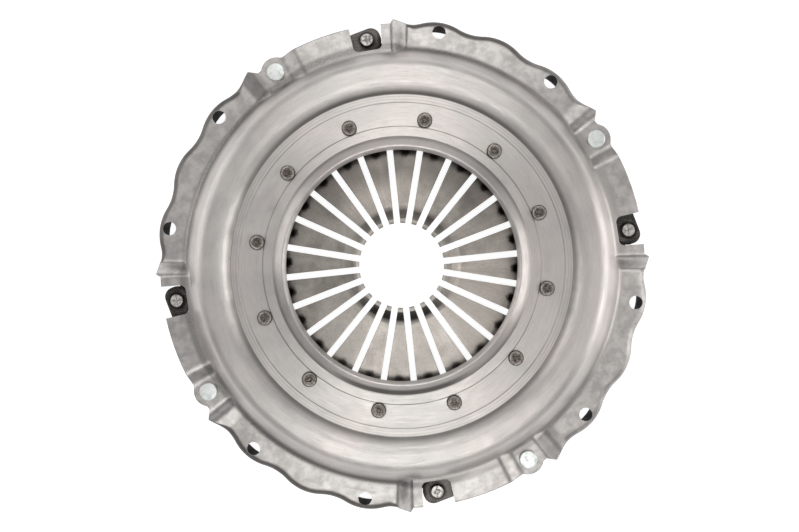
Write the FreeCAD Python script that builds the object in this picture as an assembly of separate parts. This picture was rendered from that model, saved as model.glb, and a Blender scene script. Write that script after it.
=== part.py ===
"""Diaphragm spring clutch cover assembly for a heavy truck, 430 mm size, unbolted.

Origin: centre of the bolt circle on the mounting face of the flange.
+Z runs along the axis, away from the flywheel and towards the release bearing.
The cover and the pressure plate repeat four times round Z, once for each pack of
drive straps, and angles are counted from the middle of a strap.
Sizes are in millimetres, angles in degrees.
"""
import FreeCAD
import Part

import math
import os

os.makedirs("parts", exist_ok=True)

# Clearances and fits
rivet_hole_play = 0.1
bearing_gap = 0.05
body_gap = 0.3
strap_play = 0.1
leaf_gap = 0.02
window_play = 1.1

# Flats that stand for a round form on what repeats or lies hidden
rivet_flats = 8
ring_flats = 48
wire_flats = 6

# The whole repeats once for each pack of drive straps
strap_packs = 4

# Bolting
bolt_circle_r = 225.0
bolt_hole_r = 6.5
bolt_angles = (30.0, 60.0)

# Cover: sheet, wall and dome, from the foot of the wall inwards
cover_sheet = 6.0
wall_inset = 18.7
wall_lean = 0.48
wall_split_z = 28.0
flange_bend = 5.0
crown_z = 45.0
crown_bend = 8.0
crown_width = 21.08
crown_slope = 8.5
ring_z = 36.0
rivet_inset = 23.0
rim_inset = 16.5
rim_flare = 9.0
rim_rise = 7.0

# Cover: top faces of the raised steps and of the strap pads above the mounting face
step_top_z = 21.0
pad_top_z = 14.5

# Cover: scalloped edge of the bolting flange and edge of the raised parts
edge_margin = 10.7
scallop_depth = 4.9
lobe_pitch = 15.0
raised_margin = 2.0
pad_bulge = 14.7
pad_corner = 15.9
ear_low = 17.6
ear_high = -18.9
ear_margin = 6.5
ear_width = 0.7

# Cover: angles where each level begins and ends
step_start = -18.7
step_end = 5.9
pad_start = 9.3
pad_end = 16.6
bolting_start = 21.9
bolting_end = 68.3

# Cover: turned-down lip of the bolting flange
lip_wall = 4.6
lip_depth = 22.0
lip_chamfer = 3.0
lip_run_out = 14.0
lip_root = 15.0
flange_root = 9.0
flange_overlap = 4.0

# Cover: notches over the lug rivets
notch_width = 28.5
notch_inset = 2.3
notch_corner = 5.0

# Fulcrum rivets, their sleeves and the two wire rings
rivet_count = 12
rivet_shank_r = 5.0
rivet_head_r = 7.3
rivet_head_height = 3.4
rivet_head_chamfer = 1.2
rivet_collar_r = 13.0
rivet_collar_height = 4.0
sleeve_wall = 1.3
wire_r = 3.5

# Diaphragm spring
spring_sheet = 5.0
spring_cone = 12.0
spring_inset = 19.3
finger_count = 24
slot_width = 5.1
window_width = 17.0
window_corner = 4.0
finger_bend_r = 54.0
nose_crown_r = 44.5
nose_rise = 5.6
tip_r = 38.6
tip_drop = 3.4
dimple_inset = 13.0
dimple_length = 20.0
dimple_half_width = 6.0
dimple_floor_half_width = 2.1
dimple_depth = 3.0

# Drive straps
strap_inset = 7.7
strap_angle = 12.1
leaf_count = 3
leaf_sheet = 1.2
leaf_width = 21.0
leaf_end = 13.5
leaf_corner = 5.0
leaf_flat = 15.0
strap_drop = 4.9

# Strap rivets
pad_rivet_shank_r = 5.0
pad_rivet_head_r = 8.5
pad_rivet_head_height = 4.2
pad_rivet_tail_r = 7.5
pad_rivet_tail_height = 3.4
lug_rivet_shank_r = 4.0
lug_rivet_head_r = 6.25
lug_rivet_head_height = 3.6
lug_rivet_tail_r = 6.5
lug_rivet_tail_height = 3.0
strap_rivet_chamfer = 2.0

# Pressure plate casting
plate_inset = 1.3
plate_bore_inset = 16.0
friction_face_z = -28.0
plate_rim_height = 21.0
plate_back_height = 25.0
shoulder_inset = 19.0
bead_inset = 5.0
bead_crown = 5.0
bead_foot = 7.5
bead_breaks = 12
bead_break_width = 14.0
rib_count = 12
rib_width = 5.0
rib_height = 3.5
lug_thickness = 9.0
lug_end = 10.5
lug_root = 13.5
lug_pocket_r = 9.5
lug_pocket_depth = 10.0

# Radii that follow from the bolt circle
lobe_r = bolt_circle_r + edge_margin
dip_r = lobe_r - scallop_depth
raised_edge_r = bolt_circle_r + raised_margin
ear_high_r = bolt_circle_r + ear_margin
wall_foot_r = bolt_circle_r - wall_inset
notch_floor_r = wall_foot_r - notch_inset
crown_outer_r = wall_foot_r - (crown_z - cover_sheet) * wall_lean
crown_inner_r = crown_outer_r - crown_width
ring_outer_r = crown_inner_r - crown_slope
rivet_circle_r = ring_outer_r - rivet_inset
rim_foot_r = rivet_circle_r - rim_inset
rim_crest_r = rim_foot_r - rim_flare
spring_outer_r = wall_foot_r - spring_inset
strap_circle_r = bolt_circle_r - strap_inset
plate_outer_r = strap_circle_r - plate_inset
plate_bore_r = rivet_circle_r - plate_bore_inset
plate_shoulder_r = plate_outer_r - shoulder_inset
bead_r = spring_outer_r - bead_inset

Z_AXIS = FreeCAD.Vector(0, 0, 1)
ORIGIN = FreeCAD.Vector(0, 0, 0)
FULL_TURN = 360.0
PACK_TURN = FULL_TURN / strap_packs
FINGER_TURN = FULL_TURN / finger_count

# How far cutters and untrimmed stock run past what they cut or are trimmed to
CLEAR = 60.0
PAST = 1.0
STOCK = 8.0


def polar(r, angle, z=0.0):
    """Point at a radius and an angle round Z."""
    a = math.radians(angle)
    return FreeCAD.Vector(r * math.cos(a), r * math.sin(a), z)


def section(r, z):
    """Point of a section drawn in the XZ plane."""
    return FreeCAD.Vector(r, 0, z)


def turned(shape, angle):
    """Copy of a shape turned round Z."""
    copy = shape.copy()
    copy.rotate(ORIGIN, Z_AXIS, angle)
    return copy


def ring_of(shape, count, start=0.0):
    """Copies of a shape evenly spaced round Z."""
    return [turned(shape, start + FULL_TURN * i / count) for i in range(count)]


def fused(shapes):
    """One clean solid from overlapping or touching ones."""
    return shapes[0].fuse(shapes[1:]).removeSplitter()


def post(r, z0, z1, circle_r=0.0, angle=0.0):
    """Upright cylinder, on the axis or at a place on a circle round it."""
    return Part.makeCylinder(r, z1 - z0, polar(circle_r, angle, z0))


def prism(edges, z0, z1):
    """Upright prism on a closed outline drawn at height zero."""
    face = Part.Face(Part.Wire(edges))
    face.translate(FreeCAD.Vector(0, 0, z0))
    return face.extrude(FreeCAD.Vector(0, 0, z1 - z0))


def bar(x0, x1, width, z0, z1):
    """Box along X, centred on Y."""
    return Part.makeBox(x1 - x0, width, z1 - z0, FreeCAD.Vector(x0, -width / 2, z0))


def polygon(corners):
    """Closed polygon through its corners."""
    return Part.makePolygon(corners + corners[:1])


def revolved(corners):
    """Full turn of a section round the axis."""
    return Part.Face(polygon(corners)).revolve(ORIGIN, Z_AXIS, FULL_TURN)


def flat_turned(corners, flats, place=ORIGIN):
    """Turned piece with flat sides, from the closed section of half of it."""
    faces = []
    for side in range(flats):
        start = FULL_TURN * (side - 0.5) / flats
        end = FULL_TURN * (side + 0.5) / flats
        for a, b in zip(corners, corners[1:] + corners[:1]):
            quad = [polar(a.x, start, a.z), polar(b.x, start, b.z)]
            quad.extend([polar(b.x, end, b.z), polar(a.x, end, a.z)])
            points = [p for i, p in enumerate(quad) if not p.isEqual(quad[i - 1], 1e-6)]
            if len(points) > 2:
                faces.append(Part.Face(polygon(points)))
    piece = Part.Solid(Part.Shell(faces)).removeSplitter()
    piece.translate(place)
    return piece


def flat_post(r, z0, z1, place=ORIGIN):
    """Upright post with flat sides."""
    corners = [section(0, z0), section(r, z0), section(r, z1), section(0, z1)]
    return flat_turned(corners, rivet_flats, place)


def eased(before, corner, after, radius):
    """Two points that take a bend's corner off where its arc would begin and end."""
    back = (before - corner).normalize()
    on = (after - corner).normalize()
    reach = radius / math.tan(back.getAngle(on) / 2)
    return [corner + back * reach, corner + on * reach]


def offset_corners(corners, distance):
    """Corners of a path at a distance below one that runs towards +X in the XZ plane."""
    runs = [(b - a).normalize() for a, b in zip(corners, corners[1:])]
    sides = [FreeCAD.Vector(run.z, 0, -run.x) for run in runs]
    moved = [corners[0] + sides[0] * distance]
    for before, after, corner in zip(sides, sides[1:], corners[1:]):
        both = before + after
        moved.append(corner + both * (2 * distance / both.dot(both)))
    moved.append(corners[-1] + sides[-1] * distance)
    return moved


def sheet_below(corners, thickness):
    """Section of a bent sheet that lies below a path."""
    return corners + offset_corners(corners, thickness)[::-1]


def wall_r(z):
    """Outer radius of the cover's leaning wall at a height."""
    return wall_foot_r - (z - cover_sheet) * wall_lean


def wall_inner_r(z):
    """Inner radius of the cover's leaning wall at a height."""
    return wall_r(z) - cover_sheet * math.hypot(1, wall_lean)


def dome():
    """Upper part of the cover: wall, crown, flat ring and flared inner rim."""
    low_z = wall_split_z - cover_sheet
    crown_inner = section(crown_inner_r, crown_z)
    crown_outer = section(crown_outer_r, crown_z)
    foot = section(wall_r(low_z), low_z)
    path = [section(rim_crest_r, ring_z + rim_rise), section(rim_foot_r, ring_z)]
    path.extend([section(ring_outer_r, ring_z), crown_inner])
    path.extend(eased(crown_inner, crown_outer, foot, crown_bend) + [foot])
    return revolved(sheet_below(path, cover_sheet)).cut(post(wall_foot_r, 0, wall_split_z))


def flange_section(top, bottom, reach, angle):
    """Section of the flange and the lower wall, with its two faces at given heights."""
    edge = section(reach, top)
    split = section(wall_r(wall_split_z), wall_split_z)
    corners = [edge] + eased(edge, section(wall_r(top), top), split, flange_bend) + [split]
    corners.append(section(wall_inner_r(wall_split_z), wall_split_z))
    corners.append(section(wall_inner_r(bottom), bottom))
    corners.append(section(reach, bottom))
    return turned(polygon(corners), angle)


def level(top, reach, start, end):
    """Flat stretch of the flange with the wall above it."""
    face = Part.Face(flange_section(top, top - cover_sheet, reach, start))
    return face.revolve(ORIGIN, Z_AXIS, end - start)


def ramp(low, high, low_angle, high_angle, reach):
    """Stretch of the flange that joins two levels with its sheet thickness kept."""
    way = 1 if high_angle > low_angle else -1
    run = math.radians(abs(high_angle - low_angle)) * strap_circle_r
    rise = (high - low) / run
    shift = cover_sheet * math.tan(math.atan(rise) / 2)
    stations = [
        (0.0, low, low - cover_sheet),
        (shift, low + shift * rise, low - cover_sheet),
        (run, high, high - cover_sheet - shift * rise),
        (run + shift, high, high - cover_sheet),
    ]
    wires = []
    for along, top, bottom in stations:
        angle = low_angle + way * math.degrees(along / strap_circle_r)
        wires.append(flange_section(top, bottom, reach, angle))
    return Part.makeLoft(wires, True, True)


def ramp_shift(low, high, low_angle, high_angle):
    """Angle by which a ramp's lower face ends beyond its upper face."""
    run = math.radians(abs(high_angle - low_angle)) * strap_circle_r
    shift = cover_sheet * math.tan(math.atan((high - low) / run) / 2)
    return math.degrees(shift / strap_circle_r)


def scallop_bow():
    """Radius of the lobes and of the dips between them, which meet tangent."""
    turn = math.cos(math.radians(lobe_pitch / 2))
    square = 2 * (1 - turn)
    linear = 2 * scallop_depth * (1 + turn)
    constant = lobe_r ** 2 + dip_r ** 2 - 2 * turn * lobe_r * dip_r
    return (math.sqrt(linear ** 2 + 4 * square * constant) - linear) / (2 * square)


def lobe_half_angle(inset):
    """Angle from the middle of a lobe to where its arc meets the dip's."""
    bow = scallop_bow()
    lobe_middle = polar(lobe_r - bow, 0)
    dip_middle = polar(dip_r + bow, lobe_pitch / 2)
    meeting = lobe_middle + (dip_middle - lobe_middle) * ((bow - inset) / (2 * bow))
    return math.degrees(math.atan2(meeting.y, meeting.x))


def edge_point(angle, inset=0.0):
    """Point on the scalloped edge, or on a line that runs an inset inside it."""
    off_lobe = angle - lobe_pitch * round(angle / lobe_pitch)
    if abs(off_lobe) <= lobe_half_angle(inset):
        middle, off, side = lobe_r - scallop_bow(), off_lobe, 1
    else:
        middle, off, side = dip_r + scallop_bow(), lobe_pitch / 2 - abs(off_lobe), -1
    across = middle * math.sin(math.radians(off))
    along = middle * math.cos(math.radians(off))
    return polar(along + side * math.sqrt((scallop_bow() - side * inset) ** 2 - across ** 2), angle)


def scallops(start, end, inset=0.0):
    """Arcs of the scalloped edge between two angles."""
    half = lobe_half_angle(inset)
    breaks = [start, end]
    for lobe in range(math.floor(start / lobe_pitch), math.ceil(end / lobe_pitch) + 1):
        breaks.extend([lobe * lobe_pitch - half, lobe * lobe_pitch + half])
    breaks = sorted(b for b in breaks if start <= b <= end)
    edges = []
    for a, b in zip(breaks, breaks[1:]):
        points = [edge_point(angle, inset) for angle in (a, (a + b) / 2, b)]
        edges.append(Part.Arc(*points).toShape())
    return edges


def arc_at(r, start, end):
    """Arc round the axis at height zero."""
    return Part.Arc(polar(r, start), polar(r, (start + end) / 2), polar(r, end)).toShape()


def scalloped_sector(start, end, inner_r, inset=0.0):
    """Closed outline between an inner arc and the scalloped edge."""
    outer = scallops(start, end, inset)
    inner = arc_at(inner_r, start, end)
    sides = [
        Part.makeLine(polar(inner_r, start), edge_point(start, inset)),
        Part.makeLine(edge_point(end, inset), polar(inner_r, end)),
    ]
    return sides[:1] + outer + sides[1:] + [inner]


def bolting_flange():
    """Flat bolting flange of one quarter: chamfered scalloped edge, lip and wall."""
    outline = scalloped_sector(bolting_start, bolting_end, bolt_circle_r - flange_root)
    block = prism(outline, -lip_depth, cover_sheet)
    top = [e for e in block.Edges if e.BoundBox.ZMin > cover_sheet - 0.01 and len(e.Vertexes) == 2]
    rim = [e for e in top if min(v.Point.Length for v in e.Vertexes) > bolt_circle_r and not is_straight(e)]
    block = block.makeChamfer(lip_chamfer, rim)
    hollow = scalloped_sector(bolting_start - PAST, bolting_end + PAST, bolt_circle_r - lip_root, lip_wall)
    block = block.cut(prism(hollow, -lip_depth - PAST, 0))
    for angle, way in ((bolting_start, 1), (bolting_end, -1)):
        block = block.cut(run_out(angle, way))
    flat = level(cover_sheet, bolt_circle_r - flange_overlap, bolting_start, bolting_end)
    return fused([block, flat])


def is_straight(edge):
    """Whether an edge is a straight line."""
    return edge.Curve.TypeId == "Part::GeomLine"


def run_out(angle, way):
    """Wedge that lets the lip run out towards a ramp."""
    low = -lip_depth - PAST
    corners = [(-way * STOCK, low), (way * lip_run_out, low), (0, -PAST), (-way * STOCK, -PAST)]
    points = [FreeCAD.Vector(bolt_circle_r, along, z) for along, z in corners]
    wedge = Part.Face(polygon(points)).extrude(FreeCAD.Vector(edge_margin + lip_wall, 0, 0))
    return turned(wedge, angle)


def raised_trim():
    """Prism on the trimmed outline of the steps, pads and ramps of one quarter."""
    start = bolting_end - PACK_TURN
    swing = (raised_edge_r ** 2 + strap_circle_r ** 2 - pad_bulge ** 2) / (2 * raised_edge_r * strap_circle_r)
    half = math.degrees(math.acos(swing))
    root = wall_foot_r - CLEAR
    points = [
        polar(root, start),
        edge_point(start),
        polar(ear_high_r, ear_high),
        polar(raised_edge_r, ear_high + ear_width),
    ]
    edges = [Part.makeLine(a, b) for a, b in zip(points, points[1:])]
    edges.append(arc_at(raised_edge_r, ear_high + ear_width, strap_angle - half))
    bulge = [
        polar(raised_edge_r, strap_angle - half),
        polar(strap_circle_r + pad_bulge, strap_angle),
        polar(raised_edge_r, strap_angle + half),
    ]
    edges.append(Part.Arc(*bulge).toShape())
    edges.append(arc_at(raised_edge_r, strap_angle + half, pad_corner))
    edges.append(Part.makeLine(polar(raised_edge_r, pad_corner), edge_point(ear_low)))
    edges.extend(scallops(ear_low, bolting_start))
    edges.append(Part.makeLine(edge_point(bolting_start), polar(root, bolting_start)))
    edges.append(arc_at(root, start, bolting_start))
    return prism(edges, -CLEAR, CLEAR)


def notch():
    """Opening with eased corners through a step over the end of a strap pack."""
    tool = bar(notch_floor_r, lobe_r + CLEAR, notch_width, pad_top_z, step_top_z + PAST)
    inner = [e for e in tool.Edges if e.BoundBox.ZLength > PAST and e.BoundBox.XMax < notch_floor_r + PAST]
    return turned(tool.makeChamfer(notch_corner, inner), -strap_angle)


def raised_parts():
    """Steps, strap pad and ramps of one quarter, trimmed to the outline."""
    reach = lobe_r + STOCK
    low = cover_sheet
    high_ramp = (low, step_top_z, bolting_end - PACK_TURN, step_start)
    pad_ramp = (pad_top_z, step_top_z, pad_start, step_end)
    end_ramp = (low, pad_top_z, bolting_start, pad_end)
    step_from = step_start + ramp_shift(*high_ramp)
    step_to = step_end - ramp_shift(*pad_ramp)
    pad_to = pad_end - ramp_shift(*end_ramp)
    pieces = [
        ramp(*high_ramp, reach),
        level(step_top_z, reach, step_from, step_to),
        ramp(*pad_ramp, reach),
        level(pad_top_z, reach, pad_start, pad_to),
        ramp(*end_ramp, reach),
    ]
    return fused(pieces).common(raised_trim()).cut(notch())


def cover():
    """Drawn steel cover with its bolt and rivet holes."""
    quarter = fused([bolting_flange(), raised_parts()])
    shell = fused([dome()] + ring_of(quarter, strap_packs))
    holes = []
    for angle in bolt_angles:
        holes.extend(ring_of(post(bolt_hole_r, -PAST, CLEAR, bolt_circle_r, angle), strap_packs))
    pad_hole = flat_post(pad_rivet_shank_r + rivet_hole_play, 0, CLEAR, polar(strap_circle_r, strap_angle))
    holes.extend(ring_of(pad_hole, strap_packs))
    shank_hole = flat_post(rivet_shank_r + rivet_hole_play, 0, CLEAR, polar(rivet_circle_r, 0))
    holes.extend(ring_of(shank_hole, rivet_count))
    return shell.cut(Part.makeCompound(holes))


# The stack between the cover's ring and the collars of the fulcrum rivets, from the top down.
# The spring is flat across each finger, so its edges beside the slots stand higher by its bow.
cone = math.radians(spring_cone)
finger_half = math.pi / finger_count
sleeve_outer_r = rivet_shank_r + bearing_gap + sleeve_wall
fulcrum_r = rivet_circle_r + sleeve_outer_r + bearing_gap + wire_r
finger_bow = fulcrum_r * (1 - math.cos(finger_half)) * math.tan(cone)
ring_under_z = ring_z - cover_sheet
wire_to_spring = (wire_r + spring_sheet / 2 + bearing_gap) / math.cos(cone)
upper_wire_z = ring_under_z - bearing_gap - wire_r
fulcrum_z = upper_wire_z - wire_to_spring - finger_bow
lower_wire_z = fulcrum_z - wire_to_spring
collar_top_z = lower_wire_z - wire_r - bearing_gap


def spring_z(r):
    """Height of the middle of the spring's sheet along the middle of a finger."""
    return fulcrum_z + (fulcrum_r - r) * math.tan(cone)


def root_dimple():
    """Trough with sloping ends and sides, pressed into a finger's root from above."""
    half_length = dimple_length / 2
    middle_r = rivet_circle_r - dimple_inset - half_length
    floor = dimple_depth - spring_sheet / 2
    rim = []
    for half_width, height in ((dimple_half_width, dimple_depth), (dimple_floor_half_width, -dimple_depth)):
        reach = half_length - dimple_half_width + half_width
        points = [(-reach, -half_width), (reach, -half_width), (reach, half_width), (-reach, half_width)]
        rim.append([FreeCAD.Vector(x, y, height - floor) for x, y in points])
    faces = [Part.Face(polygon(corners)) for corners in rim]
    for i in range(4):
        faces.append(Part.Face(polygon([rim[0][i - 1], rim[0][i], rim[1][i], rim[1][i - 1]])))
    tool = Part.Solid(Part.Shell(faces))
    tool.rotate(ORIGIN, FreeCAD.Vector(0, 1, 0), spring_cone)
    tool.translate(section(middle_r, spring_z(middle_r)))
    return tool


def slot():
    """Cutter for one slot between two fingers and the window at its outer end."""
    window_inner_r = rivet_circle_r - sleeve_outer_r - window_play
    window_outer_r = rivet_circle_r + sleeve_outer_r + window_play
    way = bar(0, rivet_circle_r, slot_width, 0, CLEAR)
    window = bar(window_inner_r, window_outer_r, window_width, 0, CLEAR)
    upright = [e for e in window.Edges if e.BoundBox.ZLength > PAST]
    return fused([way, window.makeChamfer(window_corner, upright)])


def finger():
    """One finger with its share of the outer ring, along +X: a bent strip trimmed to its sector."""
    bend_z = spring_z(finger_bend_r)
    crown_height = bend_z + nose_rise
    middle = [
        section(tip_r, crown_height - tip_drop),
        section(nose_crown_r, crown_height),
        section(finger_bend_r, bend_z),
        section(spring_outer_r + spring_sheet, spring_z(spring_outer_r + spring_sheet)),
    ]
    strip = Part.Face(polygon(sheet_below(offset_corners(middle, -spring_sheet / 2), spring_sheet)))
    half_width = lobe_r * math.tan(finger_half)
    strip.translate(FreeCAD.Vector(0, -half_width, 0))
    strip = strip.extrude(FreeCAD.Vector(0, 2 * half_width, 0))
    sector = polygon([ORIGIN, FreeCAD.Vector(lobe_r, -half_width, 0), FreeCAD.Vector(lobe_r, half_width, 0)])
    return strip.common(Part.Face(sector).extrude(FreeCAD.Vector(0, 0, CLEAR))).cut(root_dimple())


def diaphragm_spring():
    """One-piece spring: coned ring outside the fulcrum, slotted fingers with curled tips inside it."""
    blank = fused(ring_of(finger(), finger_count, FINGER_TURN / 2))
    blank = blank.common(post(spring_outer_r, 0, CLEAR))
    return blank.cut(Part.makeCompound(ring_of(slot(), finger_count)))


def wire_ring(z):
    """Wire ring on which the spring rocks."""
    corners = [FreeCAD.Vector(fulcrum_r, 0, z) + section(0, wire_r)]
    for i in range(1, wire_flats):
        turn = 2 * math.pi * i / wire_flats
        corners.append(FreeCAD.Vector(fulcrum_r, 0, z) + section(math.sin(turn), math.cos(turn)) * wire_r)
    return flat_turned(corners, ring_flats)


def fulcrum_rivet():
    """Rivet with an upset head above the cover and a wide collar under the lower wire ring."""
    tip = ring_z + rivet_head_height
    collar_z = collar_top_z - rivet_collar_height
    corners = [
        section(0, tip),
        section(rivet_head_r - rivet_head_chamfer, tip),
        section(rivet_head_r, tip - rivet_head_chamfer),
        section(rivet_head_r, ring_z),
        section(rivet_shank_r, ring_z),
        section(rivet_shank_r, collar_top_z),
        section(rivet_collar_r, collar_top_z),
        section(rivet_collar_r, collar_z),
        section(0, collar_z),
    ]
    return flat_turned(corners, rivet_flats, polar(rivet_circle_r, 0))


def rivet_sleeve():
    """Distance sleeve that keeps the cover and the collar apart through the spring's window."""
    bore_r = rivet_shank_r + bearing_gap
    corners = [
        section(bore_r, collar_top_z),
        section(sleeve_outer_r, collar_top_z),
        section(sleeve_outer_r, ring_under_z),
        section(bore_r, ring_under_z),
    ]
    return flat_turned(corners, rivet_flats, polar(rivet_circle_r, 0))


# Straps lie along Y, from the lug rivet to the pad rivet
strap_middle_x = strap_circle_r * math.cos(math.radians(strap_angle))
strap_reach = strap_circle_r * math.sin(math.radians(strap_angle))
pack_sheet = leaf_count * leaf_sheet + (leaf_count - 1) * leaf_gap
pad_under_z = pad_top_z - cover_sheet
lug_top_z = pad_under_z - strap_drop - pack_sheet - strap_play


def strap_leaf(number):
    """One leaf of a strap pack, counted from the top."""
    top = pad_under_z - number * (leaf_sheet + leaf_gap)
    low = top - strap_drop
    path = [
        section(-strap_reach - leaf_end, low),
        section(-strap_reach + leaf_flat, low),
        section(strap_reach - leaf_flat, top),
        section(strap_reach + leaf_end, top),
    ]
    face = Part.Face(polygon(sheet_below(path, leaf_sheet)))
    face.translate(FreeCAD.Vector(0, -leaf_width / 2, 0))
    strip = face.extrude(FreeCAD.Vector(0, leaf_width, 0))
    upright = [e for e in strip.Edges if e.BoundBox.ZLength > leaf_sheet / 2 and e.BoundBox.YLength < 0.01]
    corners = [e for e in upright if abs(e.BoundBox.Center.x) > strap_reach + leaf_end / 2]
    strip = strip.makeChamfer(leaf_corner, corners)
    strip = strip.cut(flat_post(pad_rivet_shank_r + rivet_hole_play, -CLEAR, CLEAR, section(strap_reach, 0)))
    strip = strip.cut(flat_post(lug_rivet_shank_r + rivet_hole_play, -CLEAR, CLEAR, section(-strap_reach, 0)))
    strip.rotate(ORIGIN, Z_AXIS, 90)
    strip.translate(FreeCAD.Vector(strap_middle_x, 0, 0))
    return strip


def strap_rivet(shank_r, head_r, head_height, tail_r, tail_height, low, high):
    """Rivet between two heights with a rounded head above and a flat tail below."""
    tip = high + head_height
    corners = [
        section(0, tip),
        section(head_r - strap_rivet_chamfer, tip),
        section(head_r, tip - strap_rivet_chamfer),
        section(head_r, high),
        section(shank_r, high),
        section(shank_r, low),
        section(tail_r, low),
        section(tail_r, low - tail_height),
        section(0, low - tail_height),
    ]
    return flat_turned(corners, rivet_flats)


def pad_rivet():
    """Rivet that holds the upper end of a strap pack under its pad."""
    rivet = strap_rivet(
        pad_rivet_shank_r, pad_rivet_head_r, pad_rivet_head_height,
        pad_rivet_tail_r, pad_rivet_tail_height, pad_under_z - pack_sheet, pad_top_z,
    )
    rivet.translate(polar(strap_circle_r, strap_angle))
    return rivet


def lug_rivet():
    """Rivet that holds the lower end of a strap pack on a lug of the pressure plate."""
    rivet = strap_rivet(
        lug_rivet_shank_r, lug_rivet_head_r, lug_rivet_head_height,
        lug_rivet_tail_r, lug_rivet_tail_height,
        lug_top_z - lug_thickness, pad_under_z - strap_drop + strap_play,
    )
    rivet.translate(polar(strap_circle_r, -strap_angle))
    return rivet


def plate_lug():
    """Ear of the pressure plate that carries the end of a strap pack."""
    root_r = plate_outer_r - lug_root
    corners = [FreeCAD.Vector(root_r, -lug_root, 0)]
    for turn in (-90, -45, 0, 45, 90):
        corners.append(FreeCAD.Vector(strap_circle_r, 0, 0) + polar(lug_end, turn))
    corners.append(FreeCAD.Vector(root_r, lug_root, 0))
    face = Part.Face(polygon(corners))
    face.translate(FreeCAD.Vector(0, 0, lug_top_z - lug_thickness))
    return turned(face.extrude(FreeCAD.Vector(0, 0, lug_thickness)), -strap_angle)


def lug_pocket():
    """Recess below a lug that leaves room for the tail of its rivet."""
    top = lug_top_z - lug_thickness
    bottom = top - lug_pocket_depth
    middle = flat_post(lug_pocket_r, bottom, top, polar(strap_circle_r, 0))
    return middle.fuse(bar(strap_circle_r, lobe_r, 2 * lug_pocket_r, bottom, top))


def pressure_plate():
    """Cast plate: ring with friction face, ribs, lugs and a broken bead, flat below each finger."""
    rim_z = friction_face_z + plate_rim_height
    back_z = friction_face_z + plate_back_height
    ring = revolved([
        section(plate_bore_r, friction_face_z),
        section(plate_outer_r, friction_face_z),
        section(plate_outer_r, rim_z),
        section(plate_shoulder_r + back_z - rim_z, rim_z),
        section(plate_shoulder_r, back_z),
        section(plate_bore_r, back_z),
    ])
    contact = spring_z(bead_r + bead_crown / 2) - (spring_sheet / 2 + body_gap) / math.cos(cone)
    spread = 1 / math.cos(finger_half)
    bead = flat_turned([
        section((bead_r - bead_foot) * spread, back_z),
        section((bead_r - bead_crown / 2) * spread, contact),
        section((bead_r + bead_crown / 2) * spread, contact),
        section((bead_r + bead_foot) * spread, back_z),
    ], finger_count)
    gap = bar(bead_r - bead_foot * 2, bead_r + bead_foot * 2, bead_break_width, back_z, CLEAR)
    bead = turned(bead, FINGER_TURN / 2)
    bead = bead.cut(Part.makeCompound(ring_of(gap, bead_breaks, FULL_TURN / bead_breaks / 2)))
    rib = bar(plate_bore_r + rib_width, bead_r, rib_width, back_z, back_z + rib_height)
    casting = fused([ring, bead] + ring_of(rib, rib_count) + ring_of(plate_lug(), strap_packs))
    lug_hole_r = lug_rivet_shank_r + rivet_hole_play
    rivet_place = polar(strap_circle_r, -strap_angle)
    lug_hole = flat_post(lug_hole_r, lug_top_z - lug_thickness - PAST, CLEAR, rivet_place)
    holes = ring_of(lug_hole, strap_packs) + ring_of(lug_pocket(), strap_packs, -strap_angle)
    return casting.cut(Part.makeCompound(holes))


def save(name, shape):
    """Write one named sub-part."""
    shape.exportStep("parts/" + name + ".step")


save("cover", cover())
save("diaphragm_spring", diaphragm_spring())
save("upper_fulcrum_ring", wire_ring(upper_wire_z))
save("lower_fulcrum_ring", wire_ring(lower_wire_z))
save("fulcrum_rivets", Part.makeCompound(ring_of(fulcrum_rivet(), rivet_count)))
save("rivet_sleeves", Part.makeCompound(ring_of(rivet_sleeve(), rivet_count)))
for pack in range(strap_packs):
    for leaf in range(leaf_count):
        place = turned(strap_leaf(leaf), PACK_TURN * pack)
        save("strap_" + str(pack + 1) + "_leaf_" + str(leaf + 1), place)
save("pad_rivets", Part.makeCompound(ring_of(pad_rivet(), strap_packs)))
save("lug_rivets", Part.makeCompound(ring_of(lug_rivet(), strap_packs)))
save("pressure_plate", pressure_plate())
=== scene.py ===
import math

import bmesh
import bpy
from mathutils import Matrix, Vector


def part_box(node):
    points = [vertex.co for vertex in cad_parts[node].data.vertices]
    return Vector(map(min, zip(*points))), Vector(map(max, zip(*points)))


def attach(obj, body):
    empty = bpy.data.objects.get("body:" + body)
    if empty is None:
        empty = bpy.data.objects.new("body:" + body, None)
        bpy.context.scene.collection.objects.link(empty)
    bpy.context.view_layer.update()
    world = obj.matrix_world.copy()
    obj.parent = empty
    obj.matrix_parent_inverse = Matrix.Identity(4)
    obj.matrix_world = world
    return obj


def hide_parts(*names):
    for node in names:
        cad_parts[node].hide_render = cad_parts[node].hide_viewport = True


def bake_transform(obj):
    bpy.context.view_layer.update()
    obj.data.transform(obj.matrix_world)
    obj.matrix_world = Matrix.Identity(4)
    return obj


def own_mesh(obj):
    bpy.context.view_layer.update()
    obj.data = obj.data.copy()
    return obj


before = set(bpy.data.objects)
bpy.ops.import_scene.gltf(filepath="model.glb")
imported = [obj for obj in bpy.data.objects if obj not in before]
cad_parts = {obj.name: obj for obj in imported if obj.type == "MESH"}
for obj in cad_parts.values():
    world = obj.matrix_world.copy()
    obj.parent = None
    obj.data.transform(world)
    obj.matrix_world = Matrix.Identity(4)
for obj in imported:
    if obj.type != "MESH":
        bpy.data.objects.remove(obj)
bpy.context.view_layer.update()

# Camera and studio: the picture is taken straight down on the cover, a little to the right
# of its axis. A pale floor lies under the friction face, with soft lamps round the upper half
# and a sky that is brightest low down, where slopes and rims of bright sheet steel look.
MM = 0.001
turn_of_picture = math.radians(-20.99)
camera_high = 0.9
camera_lens = 42.32
floor_gap = 0.0003
floor_reach = 40.0
face_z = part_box("pressure_plate")[0][2]

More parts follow.
